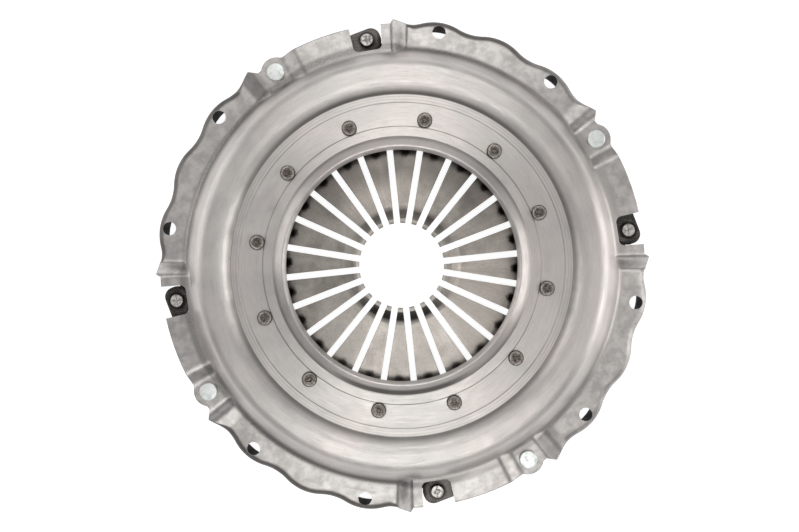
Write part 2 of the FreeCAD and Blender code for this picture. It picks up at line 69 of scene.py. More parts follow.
scene = bpy.context.scene
scene.view_settings.view_transform = "Standard"
right = Vector((math.cos(turn_of_picture), math.sin(turn_of_picture), 0))
up = Vector((-right.y, right.x, 0))


def studio_place(aside, rise, high):
    """Place in metres, by the picture's right and up and the height over the mounting face."""
    return right * aside + up * rise + Vector((0, 0, high))


def facing(place, target):
    """Matrix of a camera or lamp at a place that looks at a target."""
    back = (place - target).normalized()
    across = up.cross(back).normalized()
    axes = Matrix((across, back.cross(across), back)).transposed()
    return Matrix.Translation(place) @ axes.to_4x4()


camera_data = bpy.data.cameras.new("camera")
camera_data.lens = camera_lens
camera_data.sensor_width = 36
camera = bpy.data.objects.new("camera", camera_data)
scene.collection.objects.link(camera)
camera.matrix_world = facing(
    studio_place(0.0076, -0.0026, camera_high), studio_place(-0.00245, -0.00049, 0)
)
scene.camera = camera

for name, place, size, power, shade in (
    ("lamp_below", (0, -0.75, 1.7), 1.1, 10.3, (1.0, 0.992, 0.975)),
    ("lamp_above", (0, 0.9, 1.5), 1.0, 7.2, (1.0, 0.99, 0.975)),
    ("lamp_left", (-1.5, 0.45, 0.7), 1.2, 5.8, (1.0, 0.985, 0.97)),
    ("lamp_right", (1.6, -0.05, 0.75), 1.3, 10.6, (1.0, 0.985, 0.965)),
):
    light = bpy.data.lights.new(name, "AREA")
    light.size = size
    light.energy = power
    light.color = shade
    lamp = bpy.data.objects.new(name, light)
    scene.collection.objects.link(lamp)
    lamp.matrix_world = facing(studio_place(*place), Vector((0, 0, 0)))


def node(tree, kind, **settings):
    """New shader node with some of its properties set."""
    made = tree.nodes.new(kind)
    for name, value in settings.items():
        setattr(made, name, value)
    return made


def link(tree, source, output, target, entry):
    """Join two shader nodes."""
    tree.links.new(source.outputs[output], target.inputs[entry])


def fitted(tree, value, low, high, to_low, to_high):
    """A value carried smoothly from one range to another."""
    made = node(tree, "ShaderNodeMapRange", interpolation_type="SMOOTHSTEP")
    tree.links.new(value, made.inputs["Value"])
    ends = {"From Min": low, "From Max": high, "To Min": to_low, "To Max": to_high}
    for name, number in ends.items():
        made.inputs[name].default_value = number
    return made.outputs["Result"]


world = bpy.data.worlds.new("studio")
world.use_nodes = True
sky = world.node_tree
backdrop = sky.nodes["Background"]
backdrop.inputs["Color"].default_value = (1, 1, 1, 1)
way, split = node(sky, "ShaderNodeTexCoord"), node(sky, "ShaderNodeSeparateXYZ")
link(sky, way, "Generated", split, "Vector")
sky.links.new(fitted(sky, split.outputs["Z"], 0.05, 0.42, 0.95, 0.27), backdrop.inputs["Strength"])
scene.world = world


def principled(material):
    """The main shader of a material."""
    return material.node_tree.nodes["Principled BSDF"]


floor_material = bpy.data.materials.new("pale_floor")
floor_material.use_nodes = True
floor_tree = floor_material.node_tree
pale = principled(floor_material)
pale.inputs["Base Color"].default_value = (0.3, 0.3, 0.3, 1)
pale.inputs["Roughness"].default_value = 0.9
pale.inputs["Emission Color"].default_value = (0.93, 0.93, 0.93, 1)
pale.inputs["Emission Strength"].default_value = 1.0
one_sided = node(floor_tree, "ShaderNodeMixShader")
link(floor_tree, node(floor_tree, "ShaderNodeNewGeometry"), "Backfacing", one_sided, 0)
link(floor_tree, pale, "BSDF", one_sided, 1)
link(floor_tree, node(floor_tree, "ShaderNodeBsdfTransparent"), "BSDF", one_sided, 2)
link(floor_tree, one_sided, "Shader", floor_tree.nodes["Material Output"], "Surface")

corners = [
    (x * floor_reach, y * floor_reach, face_z - floor_gap)
    for x, y in ((-1, -1), (0.6, -1), (0.6, 1), (-1, 1))
]
floor_mesh = bpy.data.meshes.new("floor")
floor_mesh.from_pydata(corners, [], [(0, 1, 2, 3)])
floor_mesh.materials.append(floor_material)
floor = bpy.data.objects.new("floor", floor_mesh)
scene.collection.objects.link(floor)


# Pressure plate: a grey iron casting with a ground friction face, four lugs, a broken bead
# for the spring and ribs between them. It keeps its solid and only gets its finish here.
def maths(tree, operation, first, second=0.0):
    """Math node on two sockets or numbers, and its output."""
    made = node(tree, "ShaderNodeMath", operation=operation)
    for entry, value in zip(made.inputs, (first, second)):
        if isinstance(value, (int, float)):
            entry.default_value = value
        else:
            tree.links.new(value, entry)
    return made.outputs[0]


def plus(tree, first, second):
    """One value and another."""
    return maths(tree, "ADD", first, second)


def less(tree, first, second):
    """One value less another."""
    return maths(tree, "SUBTRACT", first, second)


def times(tree, first, *others):
    """Product of some values."""
    for other in others:
        first = maths(tree, "MULTIPLY", first, other)
    return first


def far(tree, first, second):
    """Distance from two distances at right angles."""
    squares = plus(tree, times(tree, first, first), times(tree, second, second))
    return maths(tree, "SQRT", squares)


def shader_group(name, inputs, outputs):
    """New shader group with plain number sockets, and its two end nodes."""
    group = bpy.data.node_groups.new(name, "ShaderNodeTree")
    for side, sockets in (("INPUT", inputs), ("OUTPUT", outputs)):
        for socket in sockets:
            group.interface.new_socket(socket, in_out=side, socket_type="NodeSocketFloat")
    return group, node(group, "NodeGroupInput"), node(group, "NodeGroupOutput")


def polar_group():
    """Radius, height and angle of a point round the axis, and noise drawn out round it."""
    group, start, end = shader_group(
        "round_the_axis", ("Around", "Across", "Detail"),
        ("Radius", "Height", "Angle", "Streak", "Outward", "Upward"),
    )
    place = node(group, "ShaderNodeTexCoord")
    split = node(group, "ShaderNodeSeparateXYZ")
    link(group, place, "Object", split, "Vector")
    x, y, z = split.outputs
    radius = far(group, x, y)
    surface = node(group, "ShaderNodeNewGeometry")
    lean = node(group, "ShaderNodeSeparateXYZ")
    link(group, surface, "Normal", lean, "Vector")
    stretched = node(group, "ShaderNodeCombineXYZ")
    outward = []
    for entry, along in (("X", x), ("Y", y)):
        share = maths(group, "DIVIDE", along, radius)
        outward.append(times(group, share, lean.outputs[entry]))
        group.links.new(times(group, share, start.outputs["Around"]), stretched.inputs[entry])
    depth = less(group, radius, z)
    group.links.new(times(group, depth, start.outputs["Across"]), stretched.inputs["Z"])
    noise = node(group, "ShaderNodeTexNoise")
    noise.inputs["Scale"].default_value = 1.0
    noise.inputs["Roughness"].default_value = 0.6
    link(group, start, "Detail", noise, "Detail")
    link(group, stretched, "Vector", noise, "Vector")
    results = {
        "Radius": radius, "Height": z, "Angle": maths(group, "ARCTAN2", y, x),
        "Streak": noise.outputs["Fac"], "Outward": plus(group, *outward),
        "Upward": lean.outputs["Z"],
    }
    for name, socket in results.items():
        group.links.new(socket, end.inputs[name])
    return group


def patches_group():
    """Soft patches with an edge that can be set, for stains, scale, scuffs and polish."""
    group, start, end = shader_group("patches", ("Scale", "Detail", "Edge", "Softness"), ("Mask",))
    place = node(group, "ShaderNodeTexCoord")
    noise = node(group, "ShaderNodeTexNoise")
    noise.inputs["Roughness"].default_value = 0.62
    link(group, place, "Object", noise, "Vector")
    link(group, start, "Scale", noise, "Scale")
    link(group, start, "Detail", noise, "Detail")
    limits = node(group, "ShaderNodeMapRange", interpolation_type="SMOOTHSTEP")
    link(group, noise, "Fac", limits, "Value")
    edge, soft = start.outputs["Edge"], start.outputs["Softness"]
    group.links.new(less(group, edge, soft), limits.inputs["From Min"])
    group.links.new(plus(group, edge, soft), limits.inputs["From Max"])
    link(group, limits, "Result", end, "Mask")
    return group


round_the_axis = polar_group()
patches = patches_group()


def placed(tree, group, **values):
    """A shader group in a material, with its inputs set."""
    made = node(tree, "ShaderNodeGroup", node_tree=group)
    for name, value in values.items():
        made.inputs[name].default_value = value
    return made


def patchy(tree, scale, detail, edge, softness):
    """Mask of soft patches."""
    made = placed(tree, patches, Scale=scale, Detail=detail, Edge=edge, Softness=softness)
    return made.outputs["Mask"]


def mixed(tree, mask, first, second):
    """Mix of two colours, each a socket or a value, by a mask."""
    made = node(tree, "ShaderNodeMix", data_type="RGBA")
    tree.links.new(mask, made.inputs["Factor"])
    colours = [socket for socket in made.inputs if socket.type == "RGBA"]
    for socket, value in zip(colours, (first, second)):
        if isinstance(value, tuple):
            socket.default_value = (*value, 1)
        else:
            tree.links.new(value, socket)
    return [socket for socket in made.outputs if socket.type == "RGBA"][0]


def metal(name, metallic=1.0):
    """New metal material and its node tree."""
    material = bpy.data.materials.new(name)
    material.use_nodes = True
    principled(material).inputs["Metallic"].default_value = metallic
    return material, material.node_tree


def finished(material, shade, rough, height, depth):
    """A material with its colour, roughness and relief joined on, the relief's depth in metres."""
    tree, main = material.node_tree, principled(material)
    bump = node(tree, "ShaderNodeBump")
    bump.inputs["Distance"].default_value = depth
    bump.inputs["Strength"].default_value = 0.6
    tree.links.new(height, bump.inputs["Height"])
    tree.links.new(bump.outputs["Normal"], main.inputs["Normal"])
    tree.links.new(shade, main.inputs["Base Color"])
    tree.links.new(rough, main.inputs["Roughness"])
    return material


def cast_iron():
    """Grey cast iron with scale, and bright turning marks on its ground friction face."""
    material, tree = metal("grey_cast_iron", 0.85)
    grain = patchy(tree, 420.0, 3.0, 0.5, 0.25)
    scale = patchy(tree, 38.0, 5.0, 0.52, 0.16)
    turning = placed(tree, round_the_axis, Around=1.2, Across=1900.0, Detail=2.0)
    raw = mixed(tree, scale, (0.105, 0.10, 0.096), (0.17, 0.158, 0.148))
    ground = mixed(tree, turning.outputs["Streak"], (0.30, 0.295, 0.29), (0.52, 0.51, 0.50))
    low = face_z + 0.0006
    is_ground = fitted(tree, turning.outputs["Height"], low, low + 0.0004, 1.0, 0.0)
    rough = less(tree, 0.62, times(tree, is_ground, 0.27))
    return finished(material, mixed(tree, is_ground, raw, ground), rough, grain, 0.00018)


plate_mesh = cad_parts["pressure_plate"].data
plate_mesh.materials.clear()
plate_mesh.materials.append(cast_iron())


# Lug rivets: four short steel rivets that hold the lower strap ends on the plate's lugs.
# Their heads were upset by a cross-shaped tool, so they are bright with four faint marks.
quarters = [90.0 * i for i in range(4)]
strap_circle_r = 217.3
strap_angle = 12.1
lug_foot_r, lug_shank_r, lug_head_r = 6.4, 4.0, 6.2
lug_foot_high, lug_head_high = 3.0, 3.6


def around(r, angle):
    """Point in the plane at a radius and an angle in degrees."""
    return Vector((r * math.cos(math.radians(angle)), r * math.sin(math.radians(angle))))


def joined_mesh(name, points, faces, near=2e-6):
    """Mesh of points in millimetres, with those that meet joined and all faces outward."""
    mesh = bpy.data.meshes.new(name)
    mesh.from_pydata([(x * MM, y * MM, z * MM) for x, y, z in points], [], faces)
    joined = bmesh.new()
    joined.from_mesh(mesh)
    bmesh.ops.remove_doubles(joined, verts=joined.verts, dist=near)
    bmesh.ops.recalc_face_normals(joined, faces=joined.faces)
    joined.to_mesh(mesh)
    joined.free()
    return mesh


def lathe_mesh(name, profile, places, segments=48):
    """Mesh of turned pieces from one profile of (radius, height) pairs, at several places."""
    points, faces = [], []
    for place in places:
        first = len(points)
        for r, z in profile:
            for i in range(segments):
                a = 2 * math.pi * i / segments
                points.append((place.x + r * math.cos(a), place.y + r * math.sin(a), z))
        for row in range(len(profile) - 1):
            for i in range(segments):
                j = (i + 1) % segments
                a, b = first + row * segments, first + (row + 1) * segments
                faces.append((a + i, b + i, b + j, a + j))
    return joined_mesh(name, points, faces)


def rounded(path, radii, steps=None):
    """Open path of (radius, height) pairs with its inner corners rounded, each in some steps."""
    points = [Vector(path[0])]
    steps = steps or [5] * len(radii)
    for before, corner, after, radius, count in zip(path, path[1:], path[2:], radii, steps):
        before, corner, after = Vector(before), Vector(corner), Vector(after)
        back, on = (before - corner).normalized(), (after - corner).normalized()
        half = back.angle(on) / 2
        if radius <= 0 or half > math.pi / 2 - 0.01:
            points.append(corner)
            continue
        reach = radius / math.tan(half)
        middle = corner + (back + on).normalized() * (radius / math.sin(half))
        start, end = corner + back * reach - middle, corner + on * reach - middle
        for i in range(count + 1):
            share = i / count
            straight = start.angle(end) < 3
            way = start.lerp(end, share).normalized() if straight else start.slerp(end, share)
            points.append(middle + way * radius)
    points.append(Vector(path[-1]))
    return points


def add_piece(name, mesh, material, body, *nodes, sharp=32):
    """Show a mesh as a piece that rides on a body and stands for some nodes."""
    for face in mesh.polygons:
        face.use_smooth = True
    mesh.set_sharp_from_angle(angle=math.radians(sharp))
    mesh.materials.append(material)
    piece = bpy.data.objects.new(name, mesh)
    scene.collection.objects.link(piece)
    if body:
        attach(piece, body)
    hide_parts(*nodes)
    return piece


def rivet_steel(name, bright, dark, stain_edge, rough):
    """Upset rivet steel: bright metal with patchy stains and a fine grain."""
    material, tree = metal(name)
    stains = patchy(tree, 300.0, 4.0, stain_edge, 0.14)
    grain = patchy(tree, 2400.0, 2.0, 0.5, 0.3)
    roughness = fitted(tree, stains, 0.0, 1.0, rough, rough + 0.2)
    return finished(material, mixed(tree, stains, bright, dark), roughness, grain, 0.00006)


def from_rivet_group():
    """Distances of a point from the nearest of the rivets that stand evenly on a circle."""
    group, start, end = shader_group(
        "from_rivet", ("Half Pitch", "First", "Circle"), ("Across", "Along", "Off")
    )
    place = placed(group, round_the_axis)
    turned = less(group, place.outputs["Angle"], start.outputs["First"])
    aside = maths(group, "PINGPONG", turned, start.outputs["Half Pitch"])
    across = times(group, aside, start.outputs["Circle"])
    outward = less(group, place.outputs["Radius"], start.outputs["Circle"])
    along = maths(group, "ABSOLUTE", outward)
    for name, socket in (("Across", across), ("Along", along), ("Off", far(group, across, along))):
        group.links.new(socket, end.inputs[name])
    return group


from_rivet = from_rivet_group()


def near_rivet(tree, count, first, circle_r):
    """Distances across, along and in all from the nearest rivet of a circle."""
    values = {"Half Pitch": math.pi / count, "First": math.radians(first), "Circle": circle_r * MM}
    made = placed(tree, from_rivet, **values)
    return [made.outputs[name] for name in ("Across", "Along", "Off")]


def cross_marked(material, count, first):
    """Cross of faint dents on each rivet head of a circle, and painted shade round each head's
    edge.
    """
    tree = material.node_tree
    across, along, off = near_rivet(tree, count, first, strap_circle_r)
    cross = fitted(tree, maths(tree, "MINIMUM", across, along), 0.0002, 0.0009, 0.6, 0.0)
    cross = times(tree, cross, fitted(tree, off, 0.0044, 0.0054, 1.0, 0.0))
    # painted shade: darker round the edge of each head
    ring = fitted(tree, off, 0.0052, 0.0062, 0.0, 0.5)
    base = principled(material).inputs["Base Color"]
    marks = maths(tree, "MAXIMUM", cross, ring)
    shade = mixed(tree, marks, base.links[0].from_socket, (0.16, 0.15, 0.14))
    tree.links.new(shade, base)


lug_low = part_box("lug_rivets")[0][2] / MM
lug_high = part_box("lug_rivets")[1][2] / MM
lug_foot_top, lug_seat = lug_low + lug_foot_high, lug_high - lug_head_high
lug_profile = rounded(
    [(0, lug_low), (lug_foot_r, lug_low), (lug_foot_r, lug_foot_top), (lug_shank_r, lug_foot_top),
     (lug_shank_r, lug_seat), (lug_head_r, lug_seat), (lug_head_r, lug_high - 0.8), (5.5, lug_high),
     (2.6, lug_high - 0.1), (1.9, lug_high - 0.45), (0, lug_high - 0.6)],
    [0.8, 0.2, 0.2, 0.2, 0.3, 0.4, 0.5, 0.4, 0.4],
)
lug_places = [around(strap_circle_r, quarter - strap_angle) for quarter in quarters]
bright_rivet = rivet_steel(
    "bright_upset_steel", (0.56, 0.55, 0.52), (0.26, 0.245, 0.23), stain_edge=0.56, rough=0.40
)
cross_marked(bright_rivet, len(quarters), -strap_angle)
add_piece(
    "lug_rivet_set", lathe_mesh("lug_rivet_set", lug_profile, lug_places), bright_rivet,
    "pressure_plate_assembly", "lug_rivets",
)


# Drive straps: four packs of three spring-steel leaves, phosphated black. They pull the plate
# round with the cover and lift it off the disc, so each leaf bends between its two rivets.
strap_middle_x = strap_circle_r * math.cos(math.radians(strap_angle))
strap_reach = strap_circle_r * math.sin(math.radians(strap_angle))
leaves = 3
leaf_width = 21.0
leaf_end = 13.5
leaf_corner = 9.0
leaf_flat = 15.0
leaf_sheet = 1.2
leaf_edge = 0.12
pad_hole_r, lug_hole_r = 5.1, 4.1
bend_cuts = 10


def strap_steel():
    """Black phosphated strip with fine grain, a few bare scratches and a painted shadow round each
    lug rivet.
    """
    material, tree = metal("phosphated_strip", 0.8)
    grain = patchy(tree, 900.0, 4.0, 0.5, 0.25)
    worn = patchy(tree, 160.0, 6.0, 0.68, 0.06)
    off = near_rivet(tree, len(quarters), -strap_angle, strap_circle_r)[-1]
    shade = mixed(tree, grain, (0.042, 0.039, 0.036), (0.115, 0.106, 0.098))
    shade = mixed(tree, worn, shade, (0.15, 0.14, 0.13))
    # painted shadow: a near-black ring round each lug rivet's head
    shade = mixed(tree, fitted(tree, off, 0.0074, 0.0096, 0.85, 0.0), shade, (0.012, 0.011, 0.01))
    rough = fitted(tree, grain, 0.0, 1.0, 0.24, 0.36)
    return finished(material, shade, rough, grain, 0.00005)


def leaf_outline():
    """Closed outline of a flat leaf along Y, with rounded corners."""
    half_x, half_y = leaf_width / 2, strap_reach + leaf_end
    points = []
    for x_side, y_side, start in ((1, 1, 0), (-1, 1, 90), (-1, -1, 180), (1, -1, 270)):
        middle = Vector((x_side * (half_x - leaf_corner), y_side * (half_y - leaf_corner)))
        points.extend(middle + around(leaf_corner, start + 90 * i / 8) for i in range(9))
    return points


def flat_leaf(name):
    """Flat leaf with two holes and slightly broken edges."""
    curve = bpy.data.curves.new(name, "CURVE")
    curve.dimensions = "2D"
    curve.fill_mode = "BOTH"
    curve.extrude = (leaf_sheet / 2 - leaf_edge) * MM
    curve.bevel_depth = leaf_edge * MM
    curve.bevel_resolution = 1
    outlines = [leaf_outline()]
    for y, r in ((strap_reach, pad_hole_r), (-strap_reach, lug_hole_r)):
        outlines.append([Vector((0, y)) + around(r, -360 * i / 32) for i in range(32)])
    for outline in outlines:
        spline = curve.splines.new("POLY")
        spline.points.add(len(outline) - 1)
        for point, at in zip(spline.points, outline):
            point.co = (at.x * MM, at.y * MM, 0, 1)
        spline.use_cyclic_u = True
    drawn = bpy.data.objects.new(name, curve)
    mesh = bpy.data.meshes.new_from_object(drawn)
    bpy.data.objects.remove(drawn)
    bpy.data.curves.remove(curve)
    return mesh


def leaf_mesh(name, turn, top, drop):
    """Leaf that is set down by the drop between its rivets and turned to its quarter."""
    mesh = flat_leaf(name)
    shaped = bmesh.new()
    shaped.from_mesh(mesh)
    bmesh.ops.remove_doubles(shaped, verts=shaped.verts, dist=1e-6)
    free = strap_reach - leaf_flat
    for i in range(-bend_cuts, bend_cuts + 1):
        everything = shaped.verts[:] + shaped.edges[:] + shaped.faces[:]
        cut_at = (0, free * 1.12 * i / bend_cuts * MM, 0)
        bmesh.ops.bisect_plane(shaped, geom=everything, plane_co=cut_at, plane_no=(0, 1, 0))
    for vert in shaped.verts:
        share = min(1.0, max(0.0, (vert.co.y / MM + free) / (2 * free)))
        smooth = share * share * (3 - 2 * share)
        vert.co.z += (top - leaf_sheet / 2 - drop * (1 - smooth)) * MM
        vert.co.x += strap_middle_x * MM
    bmesh.ops.rotate(shaped, verts=shaped.verts, cent=(0, 0, 0), matrix=turn)
    bmesh.ops.recalc_face_normals(shaped, faces=shaped.faces)
    shaped.to_mesh(mesh)
    shaped.free()
    return mesh


black_strip = strap_steel()
for pack, quarter in enumerate(quarters):
    turn = Matrix.Rotation(math.radians(quarter), 3, "Z")
    for leaf in range(leaves):
        leaf_node = "strap_%d_leaf_%d" % (pack + 1, leaf + 1)
        low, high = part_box(leaf_node)
        top = high[2] / MM
        drop = top - leaf_sheet - low[2] / MM
        mesh = leaf_mesh(leaf_node + "_strip", turn, top, drop)
        piece = add_piece(leaf_node + "_strip", mesh, black_strip, None, leaf_node)
        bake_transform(piece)


# Fulcrum stack: twelve shouldered rivets hang under the cover and carry two wire rings, with
# the spring between them. Each rivet passes a window of the spring inside a distance sleeve.
rivet_count = 12
rivet_circle_r = 135.0
ring_z = 36.0
coin_depth = 0.4
ring_top = ring_z - coin_depth
collar_r, collar_high = 12.9, 4.0
shank_r, head_r, head_high = 4.95, 6.95, 2.6
sleeve_in_r, sleeve_out_r = 5.05, 6.3
wire_r = 3.45
fulcrum_r = 144.9


def fulcrum_steel():
    """Oiled upset steel, darker in its inner ring and the punched centre of each head, with painted
    shade round each head's edge.
    """
    material, tree = metal("oiled_upset_steel")
    stains = patchy(tree, 700.0, 4.0, 0.5, 0.14)
    off = near_rivet(tree, rivet_count, 0.0, rivet_circle_r)[-1]
    inner = fitted(tree, off, 0.0040, 0.0047, 1.0, 0.0)
    # painted shade: dark round the edge of each head
    rim = fitted(tree, off, 0.0059, 0.0066, 0.0, 1.0)
    shade = mixed(tree, stains, (0.40, 0.375, 0.35), (0.19, 0.165, 0.145))
    punched = mixed(tree, stains, (0.20, 0.175, 0.16), (0.06, 0.05, 0.044))
    shade = mixed(tree, rim, mixed(tree, inner, shade, punched), (0.06, 0.052, 0.046))
    rough = fitted(tree, stains, 0.0, 1.0, 0.3, 0.5)
    return finished(material, shade, rough, stains, 0.00012)


rivet_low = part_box("fulcrum_rivets")[0][2] / MM
collar_top = rivet_low + collar_high
head_top = ring_top + head_high
rivet_profile = rounded(
    [(0, rivet_low), (collar_r, rivet_low), (collar_r, collar_top), (shank_r, collar_top),
     (shank_r, ring_top), (head_r, ring_top), (head_r, head_top), (5.7, head_top + 0.35),
     (4.4, head_top - 0.25), (2.5, head_top - 0.1), (1.7, head_top - 0.9), (0, head_top - 1.1)],
    [0.6, 0.5, 0.3, 0.2, 0.3, 0.7, 0.3, 0.3, 0.3, 0.4],
)
rivet_places = [around(rivet_circle_r, 360.0 / rivet_count * i) for i in range(rivet_count)]
add_piece(
    "fulcrum_rivet_set", lathe_mesh("fulcrum_rivet_set", rivet_profile, rivet_places),
    fulcrum_steel(), "cover_assembly", "fulcrum_rivets",
)

sleeve_low, sleeve_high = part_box("rivet_sleeves")[0][2] / MM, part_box("rivet_sleeves")[1][2] / MM
sleeve_middle = (sleeve_in_r, (sleeve_low + sleeve_high) / 2)
sleeve_profile = rounded(
    [sleeve_middle, (sleeve_in_r, sleeve_high), (sleeve_out_r, sleeve_high),
     (sleeve_out_r, sleeve_low), (sleeve_in_r, sleeve_low), sleeve_middle],
    [0.2, 0.3, 0.3, 0.2],
)
wire_steel = rivet_steel(
    "drawn_wire_steel", (0.34, 0.33, 0.32), (0.10, 0.095, 0.09), stain_edge=0.55, rough=0.28
)
add_piece(
    "rivet_sleeve_set", lathe_mesh("rivet_sleeve_set", sleeve_profile, rivet_places), wire_steel,
    "cover_assembly", "rivet_sleeves",
)

for ring_node in ("upper_fulcrum_ring", "lower_fulcrum_ring"):
    low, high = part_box(ring_node)
    middle_z = (low[2] + high[2]) / 2 / MM
    wire = [Vector((fulcrum_r, middle_z)) + around(wire_r, 360 * i / 16) for i in range(17)]
    mesh = lathe_mesh(ring_node + "_wire", wire, [Vector((0, 0))], segments=192)
    add_piece(ring_node + "_wire", mesh, wire_steel, "cover_assembly", ring_node, sharp=60)


# Diaphragm spring: one coned disc of hot-formed spring steel, slit into 24 fingers that curl
# up to a crown for the release bearing. Each finger's root has a rib pressed down into it.
spring_sheet = 5.0
spring_lean = math.radians(12.0)
cone = math.tan(spring_lean)
finger_count = 24
half_turn = math.pi / finger_count
spring_outer_r = 187.0
slot_half = 2.95
window_half = 8.5
window_corner = 4.0
sleeve_r, window_play = 6.35, 1.1
window_in = rivet_circle_r - sleeve_r - window_play
window_out = rivet_circle_r + sleeve_r + window_play
spring_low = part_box("diaphragm_spring")[0][2] / MM
outer_middle_z = spring_low + spring_sheet / 2 * math.cos(spring_lean)
fulcrum_z = outer_middle_z + (spring_outer_r - fulcrum_r) * cone
rib_start, rib_end, rib_half, rib_depth = 108.0, 116.0, 6.0, 3.0
tip_r, crown_r, bend_r = 39.8, 43.4, 53.5
tip_drop, crown_rise = 2.0, 5.6
finger_rows, finger_columns, rim_rows = 44, 16, 12


def spring_z(r):
    """Height of the middle of the sheet on the cone."""
    return fulcrum_z + (fulcrum_r - r) * cone


def finger_line():
    """Middle of the sheet along a finger, from its tip to its root."""
    tip_crown_z = spring_z(bend_r) + crown_rise
    path = [
        (tip_r, tip_crown_z - tip_drop), (crown_r, tip_crown_z), (bend_r, spring_z(bend_r)),
        (window_in, spring_z(window_in)),
    ]
    line = rounded(path, [3.4, 9.0], [6, 6])
    root = line.pop()
    last = line[-1]
    return line + [last.lerp(root, (i + 1) / finger_rows) for i in range(finger_rows)]


def cut_half(x):
    """Half width of the opening beside a finger at a distance from the axis."""
    if x <= window_in or x >= window_out:
        return slot_half
    near = min(x - window_in, window_out - x)
    if near >= window_corner:
        return window_half
    return window_half - window_corner + math.sqrt(window_corner ** 2 - (window_corner - near) ** 2)


def rib_dip(x, y):
    """Depth of the pressed rib at a point of a finger."""
    along = x - min(max(x, rib_start), rib_end)
    off = (along * along + y * y) / rib_half ** 2
    return rib_depth * (1 - off) ** 2 if off < 1 else 0.0


def spring_mesh():
    """Middle surface of the spring, finger by finger."""
    across = finger_columns
    rows = [(p.x, p.y, cut_half(p.x)) for p in finger_line()]
    window = [window_in + 0.01] + [window_in + window_corner * i / 5 for i in range(1, 6)]
    window += [window_out - window_corner * i / 5 for i in range(5, 0, -1)] + [window_out - 0.01]
    rows += [(x, spring_z(x), cut_half(x)) for x in window]
    points, faces = [], []
    for finger in range(finger_count):
        turn = Matrix.Rotation(2 * half_turn * (finger + 0.5), 2)
        first = len(points)
        for x, z, cut in rows:
            half = x * math.tan(half_turn) - cut / math.cos(half_turn)
            for i in range(across + 1):
                y = half * (2 * i / across - 1)
                points.append((*(turn @ Vector((x, y))), z - rib_dip(x, y)))
        for row in range(rim_rows + 1):
            for i in range(across + 1):
                side = math.tan(half_turn) * (2 * i / across - 1)
                end = spring_outer_r / math.hypot(1, side)
                x = window_out + (end - window_out) * (row / rim_rows)
                points.append((*(turn @ Vector((x, x * side))), spring_z(x)))
        for row in range(len(rows) + rim_rows):
            for i in range(across):
                a = first + row * (across + 1) + i
                faces.append((a, a + 1, a + across + 2, a + across + 1))
    return joined_mesh("diaphragm_spring_disc", points, faces, near=2e-5)


def by_side(tree, angle):
    """How far a point lies up and to the right in the picture, from -1 to 1."""
    turned = less(tree, angle, turn_of_picture)
    return maths(tree, "SINE", turned), maths(tree, "COSINE", turned)


def faint(tree, mask, share):
    """A mask with only a share of its strength."""
    return fitted(tree, mask, 0.0, 1.0, 0.0, share)


def spring_steel():
    """Oil-quenched spring steel: brown-grey mottle, painted shade in the ribs, at the finger roots
    and on the bend behind the nose, and a painted highlight on the nose.
    """
    material, tree = metal("quenched_spring_steel")
    place = placed(tree, round_the_axis, Around=26.0, Across=22.0, Detail=5.0)
    radius, angle = place.outputs["Radius"], place.outputs["Angle"]
    upright, sideways = by_side(tree, angle)
    mottle = patchy(tree, 55.0, 7.0, 0.5, 0.2)
    blotch = patchy(tree, 16.0, 4.0, 0.5, 0.16)
    speck = patchy(tree, 900.0, 3.0, 0.55, 0.2)
    crumbs = patchy(tree, 330.0, 6.0, 0.5, 0.4)
    shade = mixed(tree, mottle, (0.225, 0.209, 0.189), (0.42, 0.397, 0.364))
    warm = mixed(tree, place.outputs["Streak"], (0.335, 0.297, 0.27), (0.68, 0.63, 0.585))
    shade = mixed(tree, faint(tree, blotch, 0.75), shade, warm)

    # painted shade: black along each pressed rib, and a ragged dark band at the finger roots, under
    # the cover's mouth
    off = less(tree, maths(tree, "PINGPONG", angle, half_turn), half_turn)
    along = maths(tree, "MAXIMUM", less(tree, 0.1050, radius), 0.0)
    from_rib = far(tree, times(tree, off, radius), along)
    ragged = plus(tree, from_rib, times(tree, crumbs, 0.0030))
    painted_rib_shade = fitted(tree, ragged, 0.0036, 0.0076, 1.0, 0.0)
    shade = mixed(tree, painted_rib_shade, shade, (0.012, 0.010, 0.009))
    root = fitted(tree, radius, 0.100, 0.1095, 0.0, 0.75)
    shade = mixed(tree, times(tree, root, crumbs), shade, (0.03, 0.026, 0.023))

    # painted shade on the outer part of the upper fingers, and a painted highlight on the lower
    # ones
    painted_upper_shade = times(
        tree, fitted(tree, upright, 0.1, 0.8, 0.0, 0.6),
        fitted(tree, radius, 0.066, 0.092, 0.12, 1.0),
    )
    shade = mixed(tree, painted_upper_shade, shade, (0.085, 0.077, 0.069))
    below = fitted(tree, upright, -0.9, -0.3, 1.0, 0.0)
    shade = mixed(tree, times(tree, below, 0.3), shade, (0.78, 0.735, 0.69))

    # painted shade on the bend behind the nose, strongest on the lower fingers and weakest at left
    # and right, then a painted highlight on the nose and painted shade at its tip
    painted_bend_shade = times(
        tree, fitted(tree, radius, 0.0418, 0.0434, 0.0, 0.95),
        fitted(tree, radius, 0.0495, 0.0535, 1.0, 0.0),
    )
    aside = fitted(tree, maths(tree, "ABSOLUTE", sideways), 0.6, 0.97, 0.7, 0.12)
    painted_bend_shade = times(tree, painted_bend_shade, maths(tree, "MAXIMUM", below, aside))
    shade = mixed(tree, painted_bend_shade, shade, (0.010, 0.009, 0.008))
    bright = times(
        tree, fitted(tree, radius, 0.0390, 0.0396, 0.0, 0.6),
        fitted(tree, radius, 0.0412, 0.0420, 1.0, 0.0),
    )
    shade = mixed(tree, bright, shade, (0.58, 0.56, 0.53))
    shade = mixed(tree, fitted(tree, radius, 0.0386, 0.0392, 0.7, 0.0), shade, (0.06, 0.055, 0.05))
    shade = mixed(tree, faint(tree, speck, 0.25), shade, (0.12, 0.10, 0.09))
    rough = fitted(tree, mottle, 0.0, 1.0, 0.42, 0.58)
    return finished(material, shade, rough, speck, 0.00008)


